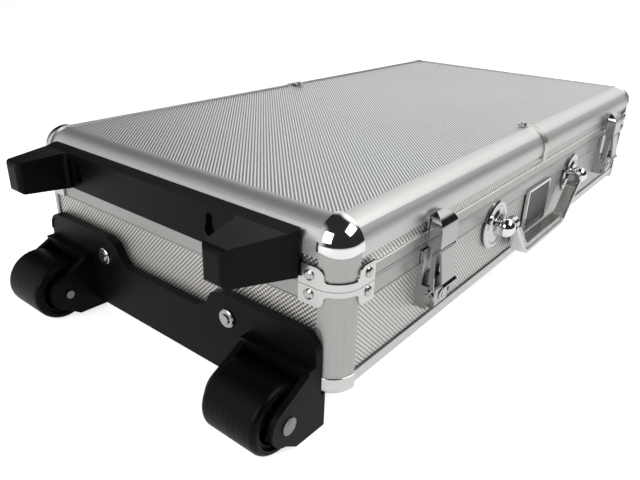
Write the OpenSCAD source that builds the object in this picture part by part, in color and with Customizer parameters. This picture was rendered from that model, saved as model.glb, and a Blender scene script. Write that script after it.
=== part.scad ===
/* [Case] */
// Length of the case, from the wheel end to the trolley end
case_l = 560; // [520:5:620]
// Width of the case, from the latch side to the hinge side
case_w = 290; // [260:5:330]
// Height of the base, from the case bottom to the parting line
base_h = 62.4; // [58:0.2:66]
// Height of the lid above the parting line
lid_h = 37.6; // [33:0.2:60]
// Gap left between the closed lid and the base
parting_gap = 0.3; // [0.2:0.1:0.6]
// Radius of the upright corners and of the lid edge
corner_r = 16; // [13:0.5:18]
// Thickness of the boards behind the metal skins
board_t = 4; // [3:0.5:6]
// Wall of the aluminium rails
rail_t = 1.2; // [0.9:0.1:1.6]

/* [Rails] */
// Height of the rail along the bottom edge
bottom_rail_h = 7.8; // [6:0.2:10]
// Height of the base rail at the parting line
base_rail_h = 11.2; // [9:0.2:13]
// Height of the lid rail at the parting line
lid_rail_h = 9.5; // [8:0.5:11]
// Straight drop below the curved lid edge
edge_drop = 4.5; // [3:0.5:6]
// Depth of the tongue that closes the parting line from inside
tongue_h = 3.2; // [2:0.2:5]

/* [Latches] */
// Distance from each end of the case to a latch centre
latch_inset = 93; // [80:1:130]
// Width of a latch
latch_w = 24; // [20:1:30]
// How far a latch stands out from the case
latch_out = 12; // [11:0.5:16]

/* [Carry handle] */
// Distance between the two ball studs
handle_span = 172; // [150:2:190]
// Height of the handle pivots above the case bottom
handle_z = 43; // [36:1:46]
// Length of the straight grip
grip_l = 78; // [60:2:90]
// Drop from the pivots to the middle of the grip
handle_drop = 31; // [26:1:32]
// Width of the handle band
band_w = 11; // [9:0.5:13]

/* [Wheels] */
// Radius of the wheels
wheel_r = 21.8; // [19:0.1:24]
// Width of a wheel
wheel_w = 42; // [30:1:46]
// Distance of the axles out from the wheel end
axle_out = 27.4; // [25:0.2:30]
// Distance of the axles below the case bottom
axle_drop = 9.2; // [8:0.1:12]
// Radius of the axles
axle_r = 3; // [2.5:0.1:4]

/* [Stand bar] */
// Distance of the stand bar from each long side of the case
bar_inset = 26.5; // [22:0.5:45]
// Thickness of the bar between its feet
bar_t = 9; // [7:0.5:12]
// How far the feet stand out from the wheel end
foot_out = 45; // [40:1:50]
// Width of each foot at its tip
foot_tip_w = 15; // [12:1:20]

/* [Trolley handle] */
// Outer radius of the fixed tubes
tube_r = 8; // [7:0.5:9]
// Distance between the two tubes
tube_gap = 104; // [90:2:116]
// How far the handle pulls out
trolley_travel = 380; // [300:10:400]

/* [Lid] */
// How far the lid opens before its hinges stop it
lid_swing = 100; // [90:1:110]

/* [Inside] */
// Height of the foam tray above the bottom board
tray_h = 52; // [44:1:53]
// Depth of the compartments
bay_depth = 44; // [30:1:46]
// Number of tile compartments
tile_bays = 3; // [2:1:4]

/* [Hidden] */

// Overrun of every cut past the face it leaves
cut_over = 1;
// Smoothness of large and small round parts
smooth = 96;
fine = 40;
arc_steps = 6;
// Clearance of a pin in its bore, on the radius
pin_fit = 0.05;
// Side gap between parts that turn beside each other
side_gap = 0.4;
// Gap left round a part that swings past another
swing_gap = 0.3;

// Heights worked out from the case
lid_z = base_h + parting_gap / 2;
base_top = base_h - parting_gap / 2;
wall_t = rail_t + board_t;
case_h = base_h + lid_h;
edge_z = case_h - corner_r;
strip_top = edge_z - edge_drop;
lid_rail_top = lid_z + lid_rail_h;
base_rail_low = base_top - base_rail_h;
span_x = case_l - 2 * corner_r;
span_y = case_w - 2 * corner_r;
floor_drop = wheel_r + axle_drop;

// Sizes of the rails
rail_bevel = 2;
rail_foot = 10;
channel_leg = 7;
tongue_gap = 0.5;
bead_t = 0.7;
recess_t = 0.35;
recess_edge = 2.1;
ledge_in = 3;
mitre_gap = 0.2;

// Shares of a rivet's or axle's head that its dome keeps at the top
dome_share = 0.65;

// Sizes of the brackets, balls and caps on the corners
plate_t = 1.2;
plate_fit = 0.05;
bracket_arm = 12.4;
side_notch = 14;
end_notch = 11.5;
notch_deep = 6;
notch_r = 2.4;
bracket_top_r = 5;
bracket_rise = 12.2;
notch_floor = 4.4;
lower_bracket_fall = 11;
lower_notch_floor = 3.2;
side_rivet = 6.6;
end_rivet = 5;
rivet_up = 6.6;
rivet_down = 4.6;
rivet_head_r = 3.1;
rivet_head_h = 1.3;
rivet_shank_r = 1.5;
ball_t = 1.1;
ball_fit = 0.15;
ball_lip = 1.2;
ball_low = 82;
ball_lobe_r = 30;
ball_skirt_h = edge_z - ball_low + ball_t;
cap_h = 6.5;
cap_drop = 5;
cap_r = 4;
rail_skid = 1.5;
cap_out = 0.6;

// Sizes of the clips over the lid edge
clip_w = 7;
clip_rail_gap = 2.35;
clip_low = lid_rail_top + clip_rail_gap;
clip_reach = 5;
clip_end_r = 4.6;
clip_bolt_r = 2.4;
clip_bolt_h = 1.4;

// Sizes of the badge
badge_l = 49;
badge_h = 37;
badge_z = 35;
badge_t = 2.4;
badge_rim = 1.8;
badge_sink = 0.9;
badge_pad = 5.4;

// Sizes of the latches
latch_low = 22;
hasp_z = 30.5;
hasp_y = 7.5;
hasp_pin_r = 1.6;
hasp_head_r = 2.4;
hasp_eye_r = 4.2;
hasp_t = 1.2;
hasp_top = 85.4;
hasp_bend_r = 11;
cover_r = 8.6;
hasp_back = 3.4;
fold_z = 62.4;
lever_low = 39.5;
lever_pin_r = 1.1;
lever_eye_r = 2.0;
lever_fall = 1.5;
lever_out = 15;
tab_out = 1.4;
tab_t = 1.6;
strap_w = 3.6;
strap_out = 8.2;
flange_out = 2.6;
plate_fall = 1.6;
lock_top = 37.4;
lock_front = 11;
lock_r = 3.6;
lock_slot = 1.1;
slot_share = 0.6;
keeper_t = 1.2;
keeper_low = 66;
keeper_top = 83;
keeper_out = 2.9;
keeper_w = 15;
keeper_lip_w = 12;
ear_h = 16;

// Sizes of the carry handle
escutcheon_r = 19;
escutcheon_t = 3.2;
escutcheon_plug_r = 7;
// Steps of the escutcheon, as shares of its radius and of its thickness
step_r_share = [1, 0.94, 0.8, 0.74, 0.66, 0.5];
step_t_share = [0.3, 0.6, 0.7, 0.5, 0.6, 1];
ball_stud_r = 7.4;
handle_y = 9.1;
stud_pin_r = 2.2;
bow_eye_r = 5.2;
bow_eye_w = 7;
band_out = 4.6;
band_mid = 1.4;
band_in = 4.2;
bow_bend = 12;
rib_pitch = 3.6;
rib_groove = 1.2;
rib_depth = 1.4;
bow_rim = 1.6;
bend_steps = 20;

// Sizes of the wheels and their bracket
tyre_t = 4.4;
shoulder_r = 4;
shoulder_share = 0.6;
web_t = 5;
hub_boss_r = 7;
hub_boss_w = 38;
spoke_t = 2.4;
hub_inset = 4.8;
spoke_count = 6;
full_turn = 360;
cheek_t = 4.2;
cheek_gap = 1.4;
bracket_end = 11;
bracket_plate_t = 3.4;
bracket_front = 5;
bracket_rim = 2.6;
bracket_rim_h = 0.8;
bracket_high = 36;
bracket_low = 18.4;
bracket_bottom = 21.5;
step_at = 104;
step_run = 9;
bracket_corner_r = 12;
bracket_step_r = 5;
step_high_share = 0.35;
step_mid_share = 0.4;
step_low_share = 0.6;
shelf_top = 16.5;
shelf_low = 10.5;
shelf_out = 11;
cheek_top = 17;
boss_r = 13;
boss_lean = 60;
skirt_in = 4;
skirt_low = 29;
axle_head_r = 5.3;
axle_head_h = 1.6;
bolt_y = 81;
bolt_z = 19.5;
bolt_r = 6.2;
bolt_h = 1.6;
bolt_dome_r = 3.6;
bolt_dome_h = 1.2;
bolt_shank_r = 2.2;
bolt_edge = 0.6;
socket_l = 34;
socket_wall = 3;

// Sizes of the stand bar
bar_low = 65.2;
bar_high = 93.8;
bar_bevel = 1.2;
tip_low = 70.5;
tip_high = 92;
near_foot_in = 39;
far_foot_in = 28;
tip_round = 3.6;
bar_round = 2;
foot_corner_r = 4;
ledge_h = 4.2;
panel_sink = 1.4;
near_slot_in = 64;
far_slot_in = 38;
slot_h = 15;
slot_r = 2.8;
keyhole_r = 4.2;
slot_depth = 3.5;
tip_at = 13.5;

// Sizes of the trolley handle
tube_t = 0.8;
tube_drop = 12;
tube_start = 6;
tube_end_in = 26;
tube_overlap = 90;
housing_l = 38;
housing_w = 150;
housing_wall = 5;
housing_plate_t = 5;
housing_rise = 24;
housing_round = 8;
grip_t = 30;
grip_clear = 1;
grip_h = 17;
grip_extra = 13;
grip_bar = 11;
grip_plan_r = 8;
grip_edge_r = 5;
socket_deep = 14;
button_l = 24;
button_h = 9;
button_out = 2.6;
button_deep = 6;
button_r = 3;
screw_r = 4;
screw_h = 1.4;
screw_slot = 1;

// Sizes of the hinges
hinge_count = 3;
hinge_l = 54;
hinge_inset = 100;
knuckles = 5;
knuckle_r = 3;
knuckle_gap = 0.3;
hinge_pin_r = 1.5;
hinge_y = 3.4;
leaf_over = 1.35;
leaf_h = parting_gap / 2 + lid_rail_h + leaf_over;
knuckle_web_h = 2.4;
stop_out = 8;
stop_gap_angle = 0.5;

// Sizes of the foam inside
foam_gap = 0.4;
foam_r = 8;
foam_side = 9;
foam_rib = 8;
rack_bay_w = 52;
pad_gap = 2.5;
pad_low = 0.4;

// Middle of the outer box, used to centre the part on its stand
out_low_x = -max(foot_out, axle_out + wheel_r);
out_high_x = case_l + housing_plate_t + grip_clear + grip_t + button_out;
out_low_y = -max(handle_y + max(ball_stud_r, band_w / 2),
                 lever_out + tab_out);
out_high_y = case_w + hinge_y
             + max(knuckle_r, stop_out * cos(lid_swing / 2));
mid_x = (out_low_x + out_high_x) / 2;
mid_y = (out_low_y + out_high_y) / 2;

module at_case() {
    translate([-mid_x, -mid_y, floor_drop]) children();
}

module both_ends() {
    children();
    translate([case_l, 0, 0]) mirror([1, 0, 0]) children();
}

module both_sides() {
    children();
    translate([0, case_w, 0]) mirror([0, 1, 0]) children();
}

module four_corners() {
    both_ends() both_sides() children();
}

// A profile of [inward, height] points run along the long sides
module along_length(from_x, run) {
    translate([from_x, 0, 0])
        rotate([90, 0, 90]) linear_extrude(run) children();
}

// A profile of [inward, height] points run along the ends
module along_width(from_y, run) {
    translate([0, from_y + run, 0])
        rotate([90, 0, 0]) linear_extrude(run) children();
}

// Four rails, one on each side, between the corner posts
module rail_ring() {
    both_sides() along_length(corner_r, span_x) children();
    both_ends() along_width(corner_r, span_y) children();
}

module box(low, high) {
    translate(low) cube(high - low);
}

module disc_y(r, low_y, high_y) {
    translate([0, high_y, 0])
        rotate([90, 0, 0]) cylinder(r = r, h = high_y - low_y, $fn = fine);
}

module disc_x(r, low_x, high_x) {
    translate([low_x, 0, 0])
        rotate([0, 90, 0]) cylinder(r = r, h = high_x - low_x, $fn = fine);
}

// A rectangle with true round corners
module round_rect(l, w, r) {
    translate([r, 0]) square([l - 2 * r, w]);
    translate([0, r]) square([l, w - 2 * r]);
    for (x = [r, l - r], y = [r, w - r])
        translate([x, y]) circle(r = r, $fn = fine);
}

function unit(v) = v / norm(v);

// Points of the arc that rounds the corner at here
function corner_arc(last, here, next, r) =
    let (to_last = unit(last - here),
         to_next = unit(next - here),
         half = acos(to_last * to_next) / 2,
         centre = here + unit(to_last + to_next) * r / sin(half),
         from = unit(here + to_last * r / tan(half) - centre),
         to = unit(here + to_next * r / tan(half) - centre))
    [for (i = [0 : arc_steps])
        centre + r * unit(from * (arc_steps - i) + to * i)];

// An outline with each corner rounded to a radius of its own
function rounded(points, radii) = [
    for (i = [0 : len(points) - 1])
        each radii[i] > 0
            ? corner_arc(points[(i + len(points) - 1) % len(points)],
                         points[i], points[(i + 1) % len(points)], radii[i])
            : [points[i]]
];

// The quarter ring that rounds an upright corner
module corner_ring(outer, t) {
    translate([corner_r, corner_r])
        intersection() {
            difference() {
                circle(r = outer, $fn = smooth);
                circle(r = outer - t, $fn = smooth);
            }
            translate([-2 * corner_r, -2 * corner_r]) square(2 * corner_r);
        }
}

// Panels of the base
module base_bottom_panel() {
    color("silver") at_case()
        translate([wall_t, wall_t, rail_t])
            linear_extrude(board_t)
                round_rect(case_l - 2 * wall_t, case_w - 2 * wall_t,
                           corner_r - wall_t);
}

module base_side_section() {
    translate([rail_t, rail_t])
        square([board_t, base_top - 2 * rail_t]);
}

module base_front_panel() {
    color("silver") at_case()
        along_length(corner_r, span_x) base_side_section();
}

module base_rear_panel() {
    color("silver") at_case()
        translate([0, case_w, 0]) mirror([0, 1, 0])
            along_length(corner_r, span_x) base_side_section();
}

module base_wheel_end_panel() {
    color("silver") at_case()
        along_width(corner_r, span_y) base_side_section();
}

module base_trolley_end_panel() {
    color("silver") at_case()
        translate([case_l, 0, 0]) mirror([1, 0, 0])
            along_width(corner_r, span_y) base_side_section();
}

// Rails of the base
module bottom_rail_section() {
    polygon([
        [rail_bevel, -rail_skid], [rail_foot, -rail_skid],
        [rail_foot, rail_t], [rail_t, rail_t], [rail_t, bottom_rail_h],
        [rail_t - bead_t, bottom_rail_h + bead_t / 2],
        [0, bottom_rail_h], [0, rail_bevel - rail_skid]
    ]);
}

module base_bottom_rails() {
    color("gainsboro") at_case() rail_ring() bottom_rail_section();
}

module base_channel_section() {
    difference() {
        translate([0, base_rail_low])
            square([wall_t + rail_t, base_rail_h]);
        translate([rail_t, base_rail_low - cut_over])
            square([board_t, base_rail_h - rail_t + cut_over]);
        translate([wall_t, base_rail_low - cut_over])
            square([rail_t + cut_over,
                    base_rail_h - channel_leg + cut_over]);
        translate([-cut_over, base_rail_low + bead_t])
            square([recess_t + cut_over, base_rail_h - recess_edge]);
    }
}

module base_frame_rails() {
    color("gainsboro") at_case() rail_ring() base_channel_section();
}

module base_corner_posts() {
    color("gainsboro") at_case() four_corners()
        translate([0, 0, cap_h])
            linear_extrude(base_top - cap_h) corner_ring(corner_r, wall_t);
}

// Rounded caps that foot the four corner posts, flush on the ends
module base_corner_caps() {
    color("silver") at_case() four_corners() difference() {
        translate([corner_r, corner_r, 0]) intersection() {
            rotate_extrude($fn = smooth) polygon(rounded([
                [corner_r - wall_t, -cap_drop],
                [corner_r + cap_out, -cap_drop],
                [corner_r + cap_out, cap_h], [corner_r - wall_t, cap_h]
            ], [0, cap_r, bead_t, 0]));
            translate([-2 * corner_r, -2 * corner_r, -case_h])
                cube([2 * corner_r, 2 * corner_r, 2 * case_h]);
        }
        box([-corner_r, bracket_end - side_gap, -case_h],
            [0, 2 * corner_r, case_h]);
    }
}

// Plan of a bracket that wraps one corner
module bracket_plan() {
    corner_ring(corner_r + plate_fit + plate_t, plate_t);
    for (turn = [0, 1]) mirror([turn, -turn])
        translate([corner_r, -plate_fit - plate_t])
            square([bracket_arm, plate_t]);
}

// The window round the post, with soft corners
function notch_points(at, floor_h, rise) = rounded([
    [-corner_r, floor_h], [at, floor_h], [at, rise],
    [corner_r + bracket_arm, rise],
    [corner_r + bracket_arm, rise + cut_over],
    [-corner_r, rise + cut_over]
], [0, notch_r, bracket_top_r, 0, 0, 0]);

// A bracket that rises from the parting line
module corner_bracket(rise, floor_h, rivet_h) {
    difference() {
        linear_extrude(rise) bracket_plan();
        for (turn = [0, 1]) mirror([turn, -turn, 0]) {
            translate([0, notch_deep, 0]) rotate([90, 0, 0])
                linear_extrude(2 * notch_deep)
                    polygon(notch_points(turn == 0 ? side_notch : end_notch,
                                         floor_h, rise));
            translate([corner_r + (turn == 0 ? side_rivet : end_rivet), 0,
                       rivet_h])
                disc_y(rivet_shank_r + pin_fit,
                       -plate_t - plate_fit - cut_over, cut_over);
        }
    }
}

module base_corner_brackets() {
    color("gainsboro") at_case() four_corners()
        translate([0, 0, base_top]) mirror([0, 0, 1])
            corner_bracket(lower_bracket_fall, lower_notch_floor,
                           rivet_down);
}

module lid_corner_brackets() {
    color("gainsboro") at_case() four_corners() translate([0, 0, lid_z])
        corner_bracket(bracket_rise, notch_floor, rivet_up);
}

// A domed rivet with its axis along Y and its shank towards +Y
module rivet() {
    rotate([90, 0, 0]) rotate_extrude($fn = fine) polygon([
        [0, 0], [rivet_shank_r, 0], [rivet_shank_r, plate_t],
        [rivet_head_r, plate_t],
        [rivet_head_r, plate_t + rivet_head_h / 2],
        [rivet_head_r * dome_share, plate_t + rivet_head_h],
        [0, plate_t + rivet_head_h]
    ]);
}

module corner_rivets(z) {
    four_corners() for (turn = [0, 1]) mirror([turn, -turn, 0])
        translate([corner_r + (turn == 0 ? side_rivet : end_rivet),
                   -plate_fit, z]) rivet();
}

module base_corner_rivets() {
    color("white") at_case() corner_rivets(base_top - rivet_down);
}

module lid_corner_rivets() {
    color("white") at_case() corner_rivets(lid_z + rivet_up);
}

// Bare plate in its frame, between the handle studs
module badge_frame() {
    color("silver") at_case()
        translate([case_l / 2 - badge_l / 2, 0, badge_z - badge_h / 2])
            difference() {
                box([0, -badge_t, 0], [badge_l, 0, badge_h]);
                box([badge_rim, -badge_t - cut_over, badge_rim],
                    [badge_l - badge_rim, cut_over, badge_h - badge_rim]);
            }
}

// The plate stands on a pad that reaches back to the side panel
module badge_plate() {
    low_z = badge_z - badge_h / 2;
    pad_high = min(badge_h - badge_pad, base_rail_low - low_z - bead_t);
    color("dimgray") at_case()
        translate([case_l / 2 - badge_l / 2, 0, low_z]) {
            box([badge_rim, badge_sink - badge_t, badge_rim],
                [badge_l - badge_rim, 0, badge_h - badge_rim]);
            box([badge_pad, -badge_sink, badge_pad],
                [badge_l - badge_pad, rail_t, pad_high]);
        }
}

// Latches stand with their middle on X zero and the case face on Y zero
module at_latches() {
    both_ends() translate([latch_inset, 0, 0]) children();
}

module near_latch() {
    translate([latch_inset, 0, 0]) children();
}

module far_latch() {
    translate([case_l - latch_inset, 0, 0]) children();
}

module latch_base_plates() {
    ear_x = latch_w / 2;
    color("silver") at_case() at_latches() difference() {
        union() {
            box([-ear_x, -hasp_t, latch_low], [ear_x, rail_t, base_rail_low]);
            box([-ear_x, -hasp_t, latch_low],
                [ear_x, 0, base_top - plate_fall]);
            for (side = [0, 1]) mirror([side, 0, 0]) {
                box([ear_x - hasp_t, -flange_out, latch_low],
                    [ear_x, 0, base_top - plate_fall]);
                box([ear_x - hasp_t, -hasp_y, latch_low],
                    [ear_x, 0, latch_low + ear_h]);
                translate([0, -hasp_y, hasp_z])
                    disc_x(hasp_eye_r, ear_x - hasp_t, ear_x);
            }
        }
        translate([0, -hasp_y, hasp_z])
            disc_x(hasp_pin_r + pin_fit, -latch_w, latch_w);
    }
}

module latch_hasp_pins() {
    color("gainsboro") at_case() at_latches()
        for (side = [0, 1]) mirror([side, 0, 0])
            translate([0, -hasp_y, hasp_z]) {
                disc_x(hasp_pin_r,
                       latch_w / 2 - 2 * hasp_t - 2 * side_gap, latch_w / 2);
                disc_x(hasp_head_r, latch_w / 2,
                       latch_w / 2 + plate_t / 2);
            }
}

module lock_outline() {
    polygon([
        [hasp_t, latch_low], [lock_front - rail_bevel, latch_low],
        [lock_front, latch_low + rail_bevel],
        [lock_front, lock_top - rail_bevel],
        [lock_front - rail_bevel, lock_top], [hasp_t, lock_top]
    ]);
}

module latch_lock_housings() {
    half = latch_w / 2 - 2 * hasp_t - 3 * side_gap;
    lock_z = (latch_low + lock_top) / 2;
    color("silver") at_case() at_latches() difference() {
        translate([-half, 0, 0]) mirror([0, 1, 0])
            rotate([90, 0, 90]) linear_extrude(2 * half) lock_outline();
        translate([0, 0, lock_z])
            disc_y(lock_r + pin_fit, -lock_front - cut_over,
                   -lock_front + lock_r);
    }
}

module latch_lock_cylinders() {
    lock_z = (latch_low + lock_top) / 2;
    color("gainsboro") at_case() at_latches()
        translate([0, 0, lock_z]) difference() {
            disc_y(lock_r, -lock_front - bead_t, -lock_front + lock_r);
            box([-lock_slot / 2, -lock_front - bead_t - cut_over,
                 -lock_r * slot_share],
                [lock_slot / 2, -lock_front + cut_over,
                 lock_r * slot_share]);
        }
}

hasp_half = latch_w / 2 - hasp_t - side_gap;
cover_low = fold_z + lever_eye_r;

// Side view of the domed cover of a hasp, shrunk by a wall of t
module cover_side(t, back, low_z) {
    bend_z = hasp_top - hasp_bend_r;
    translate([back, low_z])
        square([latch_out - t - back, bend_z - low_z]);
    intersection() {
        translate([latch_out - hasp_bend_r, bend_z])
            circle(r = hasp_bend_r - t, $fn = smooth);
        translate([back, bend_z]) square([latch_out, hasp_bend_r]);
    }
}

// Front view of the same cover
module cover_front(t, low_z) {
    half = hasp_half - t;
    round_r = cover_r - t;
    translate([-half, low_z])
        square([2 * half, hasp_top - cover_r - low_z]);
    translate([round_r - half, low_z])
        square([2 * (half - round_r), hasp_top - t - low_z]);
    for (side = [-1, 1])
        translate([side * (half - round_r), hasp_top - cover_r])
            circle(r = round_r, $fn = smooth);
}

module cover_block(t, back, low_z) {
    intersection() {
        translate([-hasp_half, 0, 0]) mirror([0, 1, 0])
            rotate([90, 0, 90]) linear_extrude(2 * hasp_half)
                cover_side(t, back, low_z);
        rotate([90, 0, 0]) linear_extrude(2 * latch_out)
            cover_front(t, low_z);
    }
}

// Side arm of a hasp, from its pin to the pin of the lever
module hasp_arm_profile() {
    translate([hasp_y, hasp_z]) circle(r = hasp_eye_r, $fn = fine);
    translate([latch_out - lever_eye_r, fold_z])
        circle(r = lever_eye_r, $fn = fine);
    polygon([
        [hasp_y - hasp_eye_r, hasp_z], [hasp_y + hasp_eye_r, hasp_z],
        [strap_out + strap_w / 2, hasp_z + 2 * hasp_eye_r],
        [strap_out + strap_w / 2, cover_low + hasp_t],
        [strap_out - strap_w / 2, cover_low + hasp_t],
        [strap_out - strap_w / 2, hasp_z + 2 * hasp_eye_r]
    ]);
}

// The hasp is a domed cover on two side arms
module hasp() {
    color("silver") difference() {
        union() {
            difference() {
                cover_block(0, hasp_back, cover_low);
                cover_block(hasp_t, hasp_back - cut_over,
                            cover_low - cut_over);
            }
            for (side = [0, 1]) mirror([side, 0, 0])
                translate([hasp_half - hasp_t, 0, 0]) mirror([0, 1, 0])
                    rotate([90, 0, 90])
                        linear_extrude(hasp_t) hasp_arm_profile();
        }
        translate([0, -hasp_y, hasp_z])
            disc_x(hasp_pin_r + pin_fit, -latch_w, latch_w);
        translate([0, lever_eye_r - latch_out, fold_z])
            disc_x(lever_pin_r, -latch_w, latch_w);
    }
}

module near_latch_hasp() {
    at_case() near_latch() hasp();
}

module far_latch_hasp() {
    at_case() far_latch() hasp();
}

// The finger lever hangs from the arms of the hasp and leans outwards
module lever() {
    half = latch_w / 2 - 2 * hasp_t - 2 * side_gap;
    eye_y = lever_eye_r - latch_out;
    color("gainsboro") {
        translate([0, eye_y, fold_z]) {
            disc_x(lever_eye_r - swing_gap, -half, half);
            disc_x(lever_pin_r - pin_fit, -half - hasp_t - side_gap / 2,
                   half + hasp_t + side_gap / 2);
        }
        translate([-half, 0, 0]) mirror([0, 1, 0])
            rotate([90, 0, 90]) linear_extrude(2 * half) polygon([
                [latch_out - hasp_t, fold_z - lever_fall + hasp_t],
                [lever_out - hasp_t, lever_low],
                [lever_out + tab_out, lever_low - hasp_t],
                [lever_out + tab_out, lever_low],
                [lever_out, lever_low + tab_t],
                [latch_out, fold_z - lever_fall + hasp_t]
            ]);
    }
}

module near_latch_lever() {
    at_case() near_latch() lever();
}

module far_latch_lever() {
    at_case() far_latch() lever();
}

module latch_keepers() {
    color("silver") at_case() at_latches() {
        box([-keeper_w / 2, -keeper_t, keeper_low],
            [keeper_w / 2, 0, keeper_top]);
        box([-keeper_lip_w / 2, -keeper_out, keeper_top - 2 * keeper_t],
            [keeper_lip_w / 2, -keeper_t, keeper_top - keeper_t]);
    }
}

// Studs and the carry handle
module at_studs() {
    for (side = [-1, 1])
        translate([case_l / 2 + side * handle_span / 2, 0, handle_z])
            scale([-side, 1, 1]) children();
}

module handle_escutcheons() {
    color("gainsboro") at_case() at_studs() rotate([90, 0, 0])
        rotate_extrude($fn = smooth) polygon(concat(
            [[0, escutcheon_t], [0, -rail_t], [escutcheon_plug_r, -rail_t],
             [escutcheon_plug_r, 0], [escutcheon_r, 0]],
            [for (i = [0 : len(step_r_share) - 1])
                [escutcheon_r * step_r_share[i],
                 escutcheon_t * step_t_share[i]]]));
}

module handle_ball_studs() {
    pin_end = ball_stud_r + side_gap + bow_eye_w;
    color("gainsboro") at_case() at_studs() difference() {
        translate([0, -handle_y, 0]) rotate([0, 90, 0])
            rotate_extrude($fn = smooth) {
                intersection() {
                    circle(r = ball_stud_r, $fn = smooth);
                    translate([0, -ball_stud_r])
                        square([ball_stud_r, 2 * ball_stud_r]);
                }
                square([stud_pin_r, pin_end]);
            }
        box([-escutcheon_r, -escutcheon_t, -escutcheon_r],
            [escutcheon_r, escutcheon_r, escutcheon_r]);
    }
}

function handle_pin_x() = handle_span / 2 - ball_stud_r - side_gap;

// Slope of the handle arms and the middle of their bends
bow_half = handle_pin_x() - bow_eye_w / 2;
bow_angle = atan2(handle_drop, bow_half - grip_l / 2 - bow_bend / 2);
bend_x = grip_l / 2;

bow_arm_l = (handle_drop - bow_bend * (1 - cos(bow_angle)))
            / sin(bow_angle);

// Points of the right half of the bow, at an offset outside its middle line
function bow_side(off) = concat(
    [for (i = [0 : bend_steps])
        [bend_x, bow_bend - handle_drop]
        + (bow_bend + off) * [sin(bow_angle * i / bend_steps),
                              -cos(bow_angle * i / bend_steps)]],
    [[bend_x, bow_bend - handle_drop]
     + (bow_bend + off) * [sin(bow_angle), -cos(bow_angle)]
     + bow_arm_l * [cos(bow_angle), sin(bow_angle)]]);

function turned_round(points) =
    [for (i = [len(points) - 1 : -1 : 0]) points[i]];

function mirrored(points) = [for (p = points) [-p[0], p[1]]];

module bow_band(outer, inner) {
    low = bow_side(outer);
    high = bow_side(-inner);
    polygon(concat(turned_round(mirrored(low)), low, turned_round(high),
                   mirrored(high)));
}

module bow_solid(outer, inner, w) {
    translate([case_l / 2, w / 2 - handle_y, handle_z])
        rotate([90, 0, 0]) linear_extrude(w) bow_band(outer, inner);
}

module at_bow_eyes() {
    for (side = [-1, 1])
        translate([case_l / 2 + side * bow_half, -handle_y, handle_z])
            children();
}

module carry_handle_bow() {
    color("gainsboro") at_case() difference() {
        union() {
            bow_solid(band_out, -band_mid, band_w);
            at_bow_eyes() disc_x(bow_eye_r, -bow_eye_w / 2, bow_eye_w / 2);
        }
        at_bow_eyes()
            disc_x(stud_pin_r + pin_fit, -bow_eye_w, bow_eye_w);
        for (side = [-1, 1])
            translate([case_l / 2 + side * (bow_half + bow_eye_w), -handle_y,
                       handle_z])
                disc_x(ball_stud_r + side_gap, -bow_eye_w / 2,
                       bow_eye_w / 2);
    }
}

// The grip lines the straight part of the bow and both bends
module carry_handle_grip() {
    grip_w = band_w - 2 * bow_rim;
    ribs = floor(grip_l / rib_pitch);
    color("darkgray") at_case() difference() {
        intersection() {
            bow_solid(band_mid, band_in, grip_w);
            box([0, -2 * band_w, handle_z - 2 * handle_drop],
                [case_l, band_w, handle_z - bow_eye_r - side_gap]);
        }
        for (i = [0 : ribs])
            translate([case_l / 2 - grip_l / 2
                       + i * (grip_l - rib_groove) / ribs,
                       -handle_y - grip_w,
                       handle_z - handle_drop + band_in - rib_depth])
                cube([rib_groove, 2 * grip_w, 2 * rib_depth]);
    }
}

// Wheels turn on axles fixed between the cheeks of the bracket
module at_axle() {
    translate([-axle_out, 0, -axle_drop]) children();
}

wheel_y = bracket_end + cheek_t + cheek_gap;

module near_side() {
    children();
}

module far_side() {
    translate([0, case_w, 0]) mirror([0, 1, 0]) children();
}

module wheel_spin() {
    translate([0, wheel_y, 0]) at_axle() rotate([-90, 0, 0])
        rotate_extrude($fn = smooth) children();
}

module tyre_section() {
    core = wheel_r - tyre_t;
    difference() {
        union() {
            translate([core, shoulder_r])
                square([tyre_t, wheel_w - 2 * shoulder_r]);
            translate([core, 0])
                square([tyre_t - shoulder_r * shoulder_share, wheel_w]);
            for (y = [shoulder_r, wheel_w - shoulder_r])
                intersection() {
                    translate([wheel_r - shoulder_r, y])
                        circle(r = shoulder_r, $fn = smooth);
                    translate([core, 0]) square([tyre_t, wheel_w]);
                }
        }
    }
}

module wheel_tyre() {
    color("#2b2b2b") wheel_spin() tyre_section();
}

// Profile of the hollow hub, turned about the axle
module hub_section() {
    core = wheel_r - tyre_t;
    bore = axle_r + pin_fit;
    boss_y = (wheel_w - hub_boss_w) / 2;
    translate([bore, boss_y]) square([hub_boss_r - bore, hub_boss_w]);
    translate([bore, (wheel_w - web_t) / 2])
        square([core - bore, web_t]);
    translate([core - spoke_t, spoke_t])
        square([spoke_t, wheel_w - 2 * spoke_t]);
}

module wheel_hub() {
    core = wheel_r - tyre_t;
    color("#202020") {
        wheel_spin() hub_section();
        translate([0, wheel_y + hub_inset, 0]) at_axle()
            for (i = [0 : spoke_count - 1])
                rotate([0, i * full_turn / spoke_count, 0])
                    translate([hub_boss_r - bead_t, 0, -spoke_t / 2])
                        cube([core - hub_boss_r - bead_t,
                              wheel_w - 2 * hub_inset, spoke_t]);
    }
}

module near_wheel_tyre() {
    at_case() near_side() wheel_tyre();
}

module near_wheel_hub() {
    at_case() near_side() wheel_hub();
}

module far_wheel_tyre() {
    at_case() far_side() wheel_tyre();
}

module far_wheel_hub() {
    at_case() far_side() wheel_hub();
}

module wheel_axles() {
    far_cheek = wheel_y + wheel_w + cheek_gap + cheek_t;
    color("silver") at_case() both_sides() at_axle() {
        disc_y(axle_r, bracket_end, far_cheek + axle_head_h);
        translate([0, bracket_end, 0]) rotate([90, 0, 0])
            rotate_extrude($fn = fine) polygon([
                [0, 0], [axle_head_r, 0],
                [axle_head_r, axle_head_h / 2],
                [axle_head_r * dome_share, axle_head_h],
                [0, axle_head_h]
            ]);
    }
}

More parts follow.
